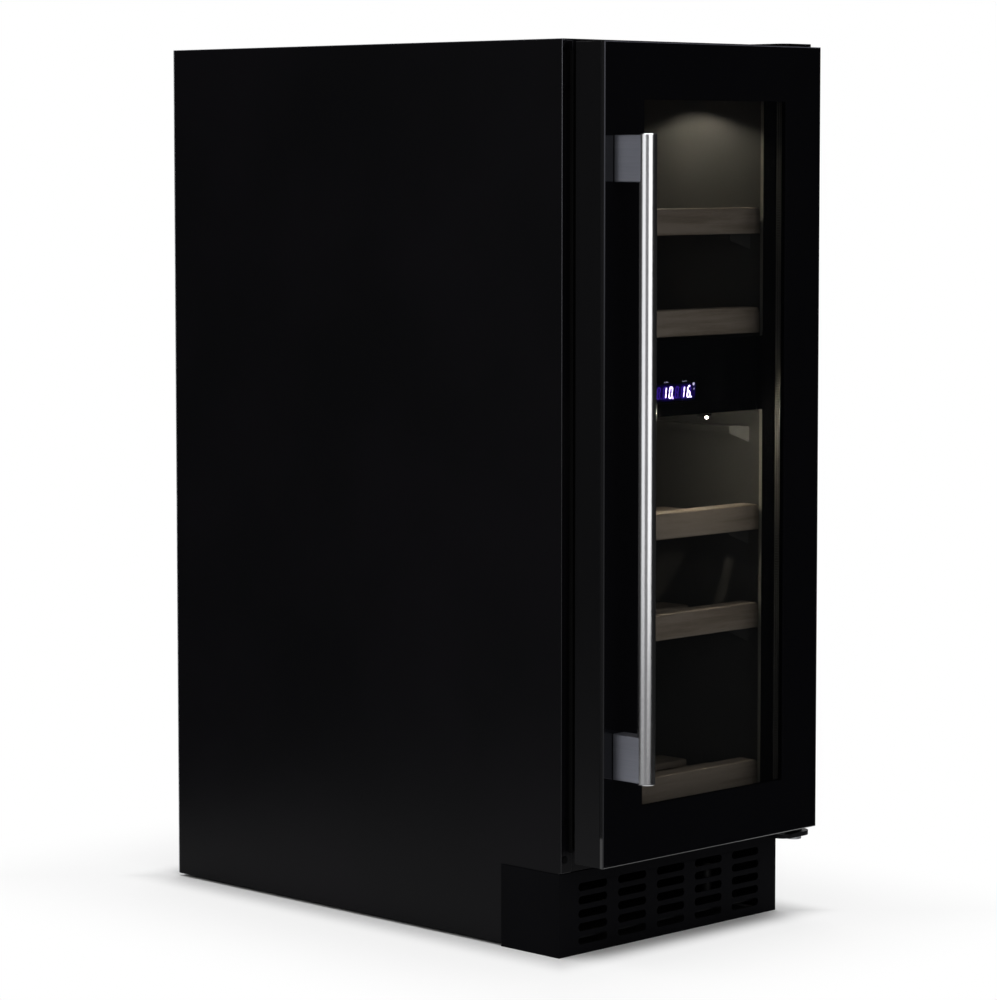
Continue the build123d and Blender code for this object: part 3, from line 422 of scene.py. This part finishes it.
# The display window is a plate of smoked acrylic, set into the fascia from behind.
# It hides the board until the figures light up.
smoked = Finish("smoked_display_window", {"Alpha": 0.45, "Specular IOR Level": 0.4})
haze = smoked.noise(scale=120.0, detail=3.0)
smoked.feed({
    "Base Color": smoked.mix(haze, shade(6, 5, 9), shade(11, 9, 16)),
    "Roughness": 0.05 + 0.06 * haze,
})
dress(smoked, "display_window")


# The control board is green glass-fibre laminate with etched copper tracks under a varnish.
# It stands in the housing behind the window and carries the display.
board = Finish("circuit_board", {"Specular IOR Level": 0.4})
weave = board.node("TexChecker", sockets={"Vector": board.place(), "Scale": 1400.0}, output="Fac")
track = board.node("TexBrick", {"offset": 0.5}, {"Vector": board.place(), "Scale": 160.0}, "Fac")
track_share = 0.6
board.feed({
    "Base Color": board.mix(track * track_share, shade(22, 66, 40), shade(40, 96, 58)),
    "Roughness": 0.35 + 0.1 * weave,
    "Normal": board.bumps(track, depth=0.00005),
})
dress(board, "control_board")


# The display behind the smoked window is a row of violet seven-segment figures, six places in two groups of
# three. The first place of each group is unlit. Every unlit segment and point has a faint painted glow, so
# it shows as a ghost. Dots above mark the keys, and two small lights stand at the right.
figure_pitch = 0.0082
figure_width = 0.0050
figure_height = 0.0113
figure_stroke = 0.0014
figure_slant = 0.14
figure_gap = 0.00018
figures_left_x = -0.0222
figures_z = 0.4956
shown = (None, 1, 0, None, 1, 6)
lit_segments = {0: "abcdef", 1: "bc", 6: "acdefg"}
lit_points = (2, 5)
lit_point_radius = 0.6 * figure_stroke
ghost_point_radius = 0.5 * figure_stroke
point_sides = 14
mark_rows_x = (-0.0108, 0.0138)
mark_row_z = 0.5110
mark_pitch = 0.0022
marks_in_row = 3
mark_radius = 0.00045
mark_sides = 8
side_lights = ((0.0015, 0.0287, 0.5080), (0.0007, 0.0294, 0.5034))
glow_reach = 0.0030
lit_pairs = (1.5, 4.5)
glow_between_pairs = 0.3
plate_depth = 0.00004
window_gap = 0.00006
lit_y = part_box("display_window")[1].y + window_gap
glow_y = lit_y + 2 * plate_depth


def segment_outline(kind):
    """One stroke of a figure as a six-sided bar, with the figure's lower left corner at the origin."""
    half = figure_stroke / 2
    left, right = half, figure_width - half
    low, middle, high = half, figure_height / 2, figure_height - half
    ends = {
        "a": ((left, high), (right, high)),
        "b": ((right, high), (right, middle)),
        "c": ((right, middle), (right, low)),
        "d": ((left, low), (right, low)),
        "e": ((left, middle), (left, low)),
        "f": ((left, high), (left, middle)),
        "g": ((left, middle), (right, middle)),
    }
    start, end = (Vector(point) for point in ends[kind])
    along = (end - start).normalized()
    across = Vector((-along.y, along.x)) * half
    start += along * figure_gap
    end -= along * figure_gap
    inner_start = start + along * half
    inner_end = end - along * half
    return [start, inner_start - across, inner_end - across, end, inner_end + across, inner_start + across]


def add_plate(mesh, outline, left_x, low_z, front_y=lit_y):
    """A thin plate of the display, leaned to the right as the figures are."""
    points = [(left_x + x + figure_slant * z, low_z + z) for x, z in outline]
    front = [mesh.verts.new((x, front_y, z)) for x, z in points]
    back = [mesh.verts.new((x, front_y + plate_depth, z)) for x, z in points]
    mesh.faces.new(front)
    mesh.faces.new(reversed(back))
    for index in range(len(points)):
        before = index - 1
        mesh.faces.new((front[before], back[before], back[index], front[index]))


def figure_x(index):
    return figures_left_x + index * figure_pitch


def add_point(mesh, index, radius):
    """The point at the lower right of a figure."""
    left_x = figure_x(index) + figure_width + figure_stroke
    add_plate(mesh, disc(radius, point_sides), left_x, figures_z + figure_stroke / 2)


def draw_figures(mesh, lit):
    """The segments that are lit, or else the ones that are not."""
    for index, figure in enumerate(shown):
        on = lit_segments.get(figure, "")
        for kind in "abcdefg":
            if (kind in on) == lit:
                add_plate(mesh, segment_outline(kind), figure_x(index), figures_z)


def draw_lit(mesh):
    draw_figures(mesh, True)
    for index in lit_points:
        add_point(mesh, index, lit_point_radius)


def draw_ghost(mesh):
    draw_figures(mesh, False)
    for index in range(len(shown) - 1):
        add_point(mesh, index, ghost_point_radius)


def draw_marks(mesh):
    for first_x in mark_rows_x:
        for index in range(marks_in_row):
            add_plate(mesh, disc(mark_radius, mark_sides), first_x + index * mark_pitch, mark_row_z)
    for radius, x, z in side_lights:
        add_plate(mesh, disc(radius, point_sides), x, z)


def draw_glow(mesh):
    width = len(shown) * figure_pitch + 2 * glow_reach
    height = figure_height + 2 * glow_reach
    outline = ((0, 0), (width, 0), (width, height), (0, height))
    add_plate(mesh, outline, figures_left_x - glow_reach, figures_z - glow_reach, glow_y)


def glowing(name, dim, bright, strength):
    """A light that changes a little in tone over its chip."""
    light = Finish(name, {"Roughness": 0.4, "Emission Strength": strength})
    patch = light.noise(scale=900.0, detail=1.0)
    colour = light.mix(patch, dim, bright)
    light.feed({"Base Color": colour, "Emission Color": colour})
    return light


def near_pair(middle):
    """The glow round two lit figures; their middle is counted in places from the first figure."""
    pair_half = (figure_pitch + figure_width) / 2
    pair_x = figure_x(middle) + (figure_width + figure_slant * figure_height) / 2
    from_pair = abs(halo.axis("X") - pair_x)
    return halo.ramp(from_pair, low=pair_half + glow_reach, high=pair_half - glow_reach)


def display_layer(name, finish, draw):
    """One layer of the display, as a mesh that rides on the cabinet."""
    mesh = bmesh.new()
    draw(mesh)
    data = bpy.data.meshes.new(name)
    mesh.to_mesh(data)
    mesh.free()
    data.materials.append(finish.material)
    layer = in_scene(name, data)
    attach(layer, "cabinet")


figure_light = glowing("lit_segments", shade(206, 178, 255), shade(236, 220, 255), strength=26.0)
# The unlit segments and points glow faintly: a painted glow.
ghost_painted_glow = glowing("ghost_segments", shade(60, 26, 160), shade(86, 46, 200), strength=3.0)
mark_light = glowing("mark_lights", shade(190, 182, 232), shade(232, 228, 255), strength=5.0)
halo = glowing("display_halo", shade(28, 9, 100), shade(46, 16, 140), strength=2.2)
half_height = figure_height / 2
from_middle = abs(halo.axis("Z") - figures_z - half_height)
upright_fade = halo.ramp(from_middle, low=half_height + glow_reach, high=half_height - glow_reach)
first_pair, second_pair = (near_pair(middle) for middle in lit_pairs)
level_fade = glow_between_pairs + (1 - glow_between_pairs) * first_pair.most(second_pair)
halo.feed({"Alpha": upright_fade * level_fade})
display_layer("display_lit_figures", figure_light, draw_lit)
display_layer("display_ghost_figures", ghost_painted_glow, draw_ghost)
display_layer("display_marks", mark_light, draw_marks)
display_layer("display_glow", halo, draw_glow)


# Each zone is lit by one warm white diode on a small frosted acrylic lens under its ceiling.
# The diode is a bead of clear resin; a ring round the upper lens keeps its light off the ceiling.
lens = Finish("frosted_light_lens", {"Roughness": 0.5})
frost_grain = lens.noise(scale=900.0)
lens.feed({"Base Color": lens.mix(frost_grain, shade(30, 30, 29), shade(40, 40, 38))})
dress(lens, "light_lenses")

diode_radius = 0.0011
diode_height = 0.0009
diode_sides = 16
dome_turns = (0, 0.5, 1.0)
lens_height = 0.003
lens_low, lens_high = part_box("light_lenses")
upper_diode = (0.072, -0.13525, lens_high.z - lens_height)
lower_diode = (0.040, -0.2238, lens_low.z)
ring_inner = 0.0068
ring_outer = 0.0086
ring_depth = 0.0068
ring_sides = 48


def hoops(centre, profile, sides):
    """The points of a turned piece: one hoop for each radius and height of its profile."""
    x, y, z = centre
    return [(x + radius * across, y + radius * up, z + height)
            for radius, height in profile for across, up in disc(1.0, sides)]


def band(upper, lower, sides):
    """The faces between two hoops of a turned piece, given by their places in its profile."""
    high, low = upper * sides, lower * sides
    faces = []
    for index in range(sides):
        after = (index + 1) % sides
        faces.append([high + after, high + index, low + index, low + after])
    return faces


def bead(name, centre, finish):
    """A shallow dome that hangs from the lens."""
    profile = [(diode_radius * math.cos(turn), -diode_height * math.sin(turn)) for turn in dome_turns]
    points = hoops(centre, profile, diode_sides)
    last = len(points) - diode_sides
    caps = [range(diode_sides), range(len(points) - 1, last - 1, -1)]
    data = bpy.data.meshes.new(name)
    data.from_pydata(points, [], caps + band(0, 1, diode_sides) + band(1, 2, diode_sides))
    data.materials.append(finish.material)
    dome = in_scene(name, data)
    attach(dome, "cabinet")


for name, centre, strength in (("upper", upper_diode, 15500.0), ("lower", lower_diode, 10500.0)):
    resin = glowing(f"{name}_diode", shade(255, 242, 214), shade(255, 248, 232), strength)
    bead(f"{name}_light_diode", centre, resin)

ring_centre = (upper_diode[0], upper_diode[1], lens_high.z)
ring_profile = [(ring_outer, 0), (ring_outer, -ring_depth), (ring_inner, -ring_depth), (ring_inner, 0)]
ring_faces = []
for level in range(len(ring_profile)):
    ring_faces += band(level, (level + 1) % len(ring_profile), ring_sides)
ring_data = bpy.data.meshes.new("upper_light_ring")
ring_data.from_pydata(hoops(ring_centre, ring_profile, ring_sides), [], ring_faces)
ring_data.materials.append(black_plastic.material)
light_ring = in_scene("upper_light_ring", ring_data)
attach(light_ring, "cabinet")


# Behind each duct cover an evaporator of roll-bonded aluminium cools the air.
# Its channels are blown up in the sheet, which keeps the fine lines of its rolling.
aluminium = Finish("evaporator_aluminium", {"Metallic": 1.0})
rolling = aluminium.noise(scale=8.0, detail=3.0, stretch=(3, 200, 200))
aluminium.feed({
    "Base Color": aluminium.mix(rolling, shade(168, 170, 172), shade(206, 208, 210)),
    "Roughness": 0.28 + 0.2 * rolling,
    "Normal": aluminium.bumps(rolling, depth=0.00003),
})
dress(aluminium, "evaporators")


# A fan in each zone and one beside the condenser move the air. Their frames and rotors are black moulded
# plastic; each rotor turns on the hub of its frame.
dress(black_plastic, "fan_frames", "upper_fan_rotor", "lower_fan_rotor", "condenser_fan_rotor")


# The compressor's shell is two steel pressings welded at a seam and dipped in black paint. It stands on
# rubber mounts, and a black plastic box over its terminals clips to its side.
shell_paint = powder_coat("compressor_paint", shade(14, 14, 15), shade(22, 22, 24),
                          roughness=0.28, specular=0.4)
dress(shell_paint, "compressor")
dress(black_plastic, "terminal_box")

rubber = Finish("black_rubber", {"Specular IOR Level": 0.08})
bloom = rubber.noise(scale=40.0, detail=4.0)
skin = rubber.noise(scale=1100.0)
rubber.feed({
    "Base Color": rubber.mix(rubber.ramp(bloom, low=0.4, high=0.75), shade(3, 3, 3), shade(6, 6, 6)),
    "Roughness": 0.62 + 0.2 * bloom,
    "Normal": rubber.bumps(skin, depth=0.00004),
})
dress(rubber, "compressor_mounts")


# The condenser is a coil of bent steel tube on two bars, which stand on the base pan.
# Tube and bars are dipped in the same black paint as the compressor.
dress(shell_paint, "condenser_supports", "condenser_coil")


# The refrigerant pipes and the filter drier are copper, bent to shape and brazed together.
# The copper has tarnished in brown patches.
copper = Finish("copper_tube", {"Metallic": 1.0})
tarnish = copper.noise(scale=45.0, detail=5.0, roughness=0.6)
tarnished = copper.ramp(tarnish, low=0.35, high=0.75)
copper.feed({
    "Base Color": copper.mix(tarnished, shade(204, 132, 96), shade(120, 72, 52)),
    "Roughness": 0.24 + 0.24 * tarnish,
    "Normal": copper.bumps(tarnish, depth=0.00004),
})
dress(copper, "refrigerant_pipes", "filter_drier")


# The drip tray on the compressor and the drain tube that leads to it are pale plastic, which yellows a
# little. The tray is moulded and the tube drawn, and both push into place.
pale = Finish("pale_plastic", {"Specular IOR Level": 0.4})
yellowing = pale.noise(scale=14.0, detail=4.0)
pale_grain = pale.noise(scale=900.0)
pale.feed({
    "Base Color": pale.mix(yellowing, shade(214, 212, 202), shade(228, 228, 224)),
    "Roughness": 0.40 + 0.15 * yellowing,
    "Normal": pale.bumps(pale_grain, depth=0.00003),
})
dress(pale, "drip_tray", "drain_tube")


# The mains inlet is a walled socket of black moulded plastic with three flat pins.
# It sits in a hole of the machine bay cover.
dress(black_plastic, "mains_inlet")


# The plinth grille is one folded sheet that wraps the front of the base, slotted for the condenser's air.
# It has a black paint that is duller than the cabinet's, and slides up behind the sill.
plinth_paint = powder_coat("plinth_paint", shade(9, 9, 11), shade(12, 12, 14),
                           roughness=0.45, specular=0.012)
dress(plinth_paint, "plinth_grille")
ease("plinth_grille", width=0.0004)


# The four levelling feet are black moulded plastic.
# Each screws up and down in the base.
dress(black_plastic, "front_left_foot", "front_right_foot", "back_left_foot", "back_right_foot")


# The hinge brackets are steel plates in the cabinet's black paint, screwed to its front at the right.
# Their edges are a little rounded by the paint.
dress(satin_black, "top_hinge_bracket", "bottom_hinge_bracket")
ease("top_hinge_bracket", "bottom_hinge_bracket", width=0.0004)


# The hinge pins and the screws of the hinges and the handle are turned from steel and left plain, with the
# fine rings of the turning. The pins stand in the hinge brackets.
plain_steel = Finish("plain_steel", {"Metallic": 1.0})
rings = plain_steel.noise(scale=20.0, detail=3.0, stretch=(4, 4, 60))
rubbed = plain_steel.noise(scale=120.0, detail=4.0)
plain_steel.feed({
    "Base Color": plain_steel.mix(rings, shade(120, 121, 124), shade(178, 179, 182)),
    "Roughness": 0.24 + 0.16 * rings + 0.08 * rubbed,
    "Normal": plain_steel.bumps(rings, depth=0.00003),
})
dress(plain_steel, "hinge_pins", "hinge_screws", "handle_screws")


# The door's frame is made of hollow aluminium extrusions, anodised black, with fine lines along its height.
# Plastic plugs close the ends of its stiles, and the right ones take the hinge pins.
anodised = Finish("black_anodised_aluminium", {"Metallic": 0.6, "Specular IOR Level": 0.2})
draw_lines = anodised.noise(scale=6.0, detail=3.0, stretch=(160, 160, 2))
anodised.feed({
    "Base Color": anodised.mix(draw_lines, shade(9, 9, 11), shade(14, 14, 16)),
    "Roughness": 0.34 + 0.14 * draw_lines,
    "Normal": anodised.bumps(draw_lines, depth=0.00002),
})
dress(anodised, "door_frame")
ease("door_frame", width=0.0005)
dress(black_plastic, "stile_end_plugs")


# The door's outer pane is dark tinted glass, glued to the frame, and covers the whole front. It lets light
# through only inside its border. Its ground edge is paler, and paler still near the top: a painted
# highlight.
def pane(name):
    """Glass, and the faint film on its face that its colour can follow."""
    glass = Finish(name, {"Specular IOR Level": 0.5})
    film = glass.noise(scale=4.0, detail=5.0, roughness=0.6, stretch=(3, 3, 1))
    glass.feed({"Roughness": 0.015 + 0.03 * film})
    return glass, film


door_low, door_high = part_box("front_glass")
border_width = 0.0505
border_blend = 0.0002
window_alpha = 0.24
tinted, tinted_film = pane("tinted_glass")
glass_z = tinted.axis("Z")
window_middle_z = (door_low.z + door_high.z) / 2
window_half_height = (door_high.z - door_low.z) / 2 - border_width
off_window_x = abs(tinted.axis("X")) - (door_high.x - border_width)
off_window_z = abs(glass_z - window_middle_z) - window_half_height
off_window = off_window_x.most(off_window_z)
glass_normal = tinted.node("TexCoord", output="Normal")
facing = abs(tinted.node("SeparateXYZ", sockets={"Vector": glass_normal}, output="Y"))
ground_edge = tinted.ramp(facing, low=0.95, high=0.85) * tinted.ramp(facing, low=0.3, high=0.5)
glass_face = tinted.mix(tinted_film, shade(4, 4, 6), shade(7, 7, 9))
# Towards the top the edge is painted paler, a painted highlight of light from above.
edge_tone_and_highlight = tinted.mix(tinted.ramp(glass_z, low=0.40, high=0.82), shade(20, 20, 23), shade(62, 62, 68))
tinted.feed({
    "Base Color": tinted.mix(ground_edge, glass_face, edge_tone_and_highlight),
    "Alpha": tinted.ramp(off_window, -border_blend, border_blend, to_low=window_alpha),
})
dress(tinted, "front_glass")


# The border on the back of the outer pane is black enamel, screen printed and fired on.
# It hides the frame and the spacer behind it.
enamel = Finish("black_enamel", {"Specular IOR Level": 0.3})
enamel_cloud = enamel.noise(scale=30.0, detail=3.0)
enamel.feed({
    "Base Color": enamel.mix(enamel_cloud, shade(4, 4, 5), shade(7, 6, 9)),
    "Roughness": 0.03 + 0.04 * enamel_cloud,
})
dress(enamel, "glass_border")


# The spacer between the panes is a bent aluminium tube full of drying beads, with a row of tiny holes
# towards the gap so that they can take up moisture. It is glued to both panes.
spacer = Finish("spacer_aluminium", {"Metallic": 0.7})
spacer_brush = spacer.noise(scale=6.0, stretch=(200, 200, 3))
hole_pitch = 0.0024
hole_edge = (0.0009, 0.0006)
along = (spacer.axis("X") + spacer.axis("Z")) / hole_pitch
across = spacer.axis("Y") / hole_pitch
from_hole = abs(along.fraction() - 0.5).most(abs(across.fraction() - 0.5)) * hole_pitch
hole = spacer.ramp(from_hole, *hole_edge)
spacer_face = spacer.mix(spacer_brush, shade(98, 98, 95), shade(118, 118, 114))
spacer.feed({
    "Base Color": spacer.mix(hole, spacer_face, shade(10, 10, 10)),
    "Roughness": 0.40 + 0.15 * spacer_brush,
    "Normal": spacer.bumps(hole, depth=0.0001),
})
dress(spacer, "glass_spacer")


# The inner pane is clear float glass, faintly green, and closes the gap towards the shelves.
# A bead of matt black plastic is pressed in round it and holds it in the frame.
clear, clear_film = pane("clear_glass")
clear.feed({"Base Color": clear.mix(clear_film, shade(20, 24, 23), shade(28, 33, 31)), "Alpha": 0.08})
dress(clear, "inner_glass")
dress(matt_black, "glazing_bead")
ease("glazing_bead", width=0.0004)


# The door's gasket is a black rubber ring with a bellows and a magnetic strip in its head.
# Its foot is pressed into the frame.
dress(rubber, "door_gasket")


# The handle is a round bar of stainless steel on two flat standoffs, brushed along its length.
# Screws from inside the stile hold it through the glass, and each standoff has a thin black washer.
brushed = Finish("brushed_steel_bar", {"Metallic": 1.0})
fine = brushed.noise(scale=3.0, detail=4.0, roughness=0.65, stretch=(900, 900, 6))
broad = brushed.noise(scale=3.0, stretch=(160, 160, 3))
brushed.feed({
    "Base Color": brushed.mix(broad, shade(184, 184, 186), shade(204, 204, 206)),
    "Roughness": 0.16 + 0.12 * fine,
    "Normal": brushed.bumps(fine, depth=0.00002),
})
dress(brushed, "handle_bar")

standoff = Finish("brushed_steel_standoff", {"Metallic": 1.0})
lines = standoff.noise(scale=3.0, detail=4.0, roughness=0.65, stretch=(6, 6, 900))
washer_depth = 0.0010
washer_inner = 0.0006
standoff_end_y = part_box("handle_brackets")[1].y
washer = standoff.ramp(standoff.axis("Y"), standoff_end_y - washer_depth, standoff_end_y - washer_inner)
standoff_face = standoff.mix(lines, shade(122, 124, 134), shade(156, 158, 168))
standoff.feed({
    "Base Color": standoff.mix(washer, standoff_face, shade(8, 8, 9)),
    "Roughness": 0.30 + 0.14 * lines,
    "Normal": standoff.bumps(lines, depth=0.00002),
})
dress(standoff, "handle_brackets")
# The standoffs' rounded edges take the bar's paler steel, a painted highlight along them.
ease("handle_brackets", width=0.0005, finish=brushed)


# The shelves are beech: a front rail with rounded corners, two side rails and slats, glued and pinned.
# The grain runs from side to side, with fine dark pores; each shelf slides on the runners.
wood = Finish("beech", {"Specular IOR Level": 0.3})
growth = wood.noise(scale=1.6, detail=6.0, roughness=0.62, stretch=(5, 90, 90))
pores = wood.noise(scale=1.0, stretch=(60, 1600, 1600))
slow = wood.noise(scale=9.0)
early = wood.mix(slow, shade(162, 150, 136), shade(174, 162, 148))
late = wood.mix(slow, shade(140, 127, 112), shade(152, 139, 124))
grain = wood.mix(wood.ramp(growth, low=0.42, high=0.66), early, late)
pore_share = 0.35
fleck = wood.ramp(pores, low=0.60, high=0.72) * pore_share
wood.feed({
    "Base Color": wood.mix(fleck, grain, shade(108, 88, 68)),
    "Roughness": 0.42 + 0.2 * growth,
    "Normal": wood.bumps(growth + 0.5 * pores, depth=0.00008),
})
dress(wood, "shelf_1", "shelf_2", "shelf_3", "shelf_4", "shelf_5")
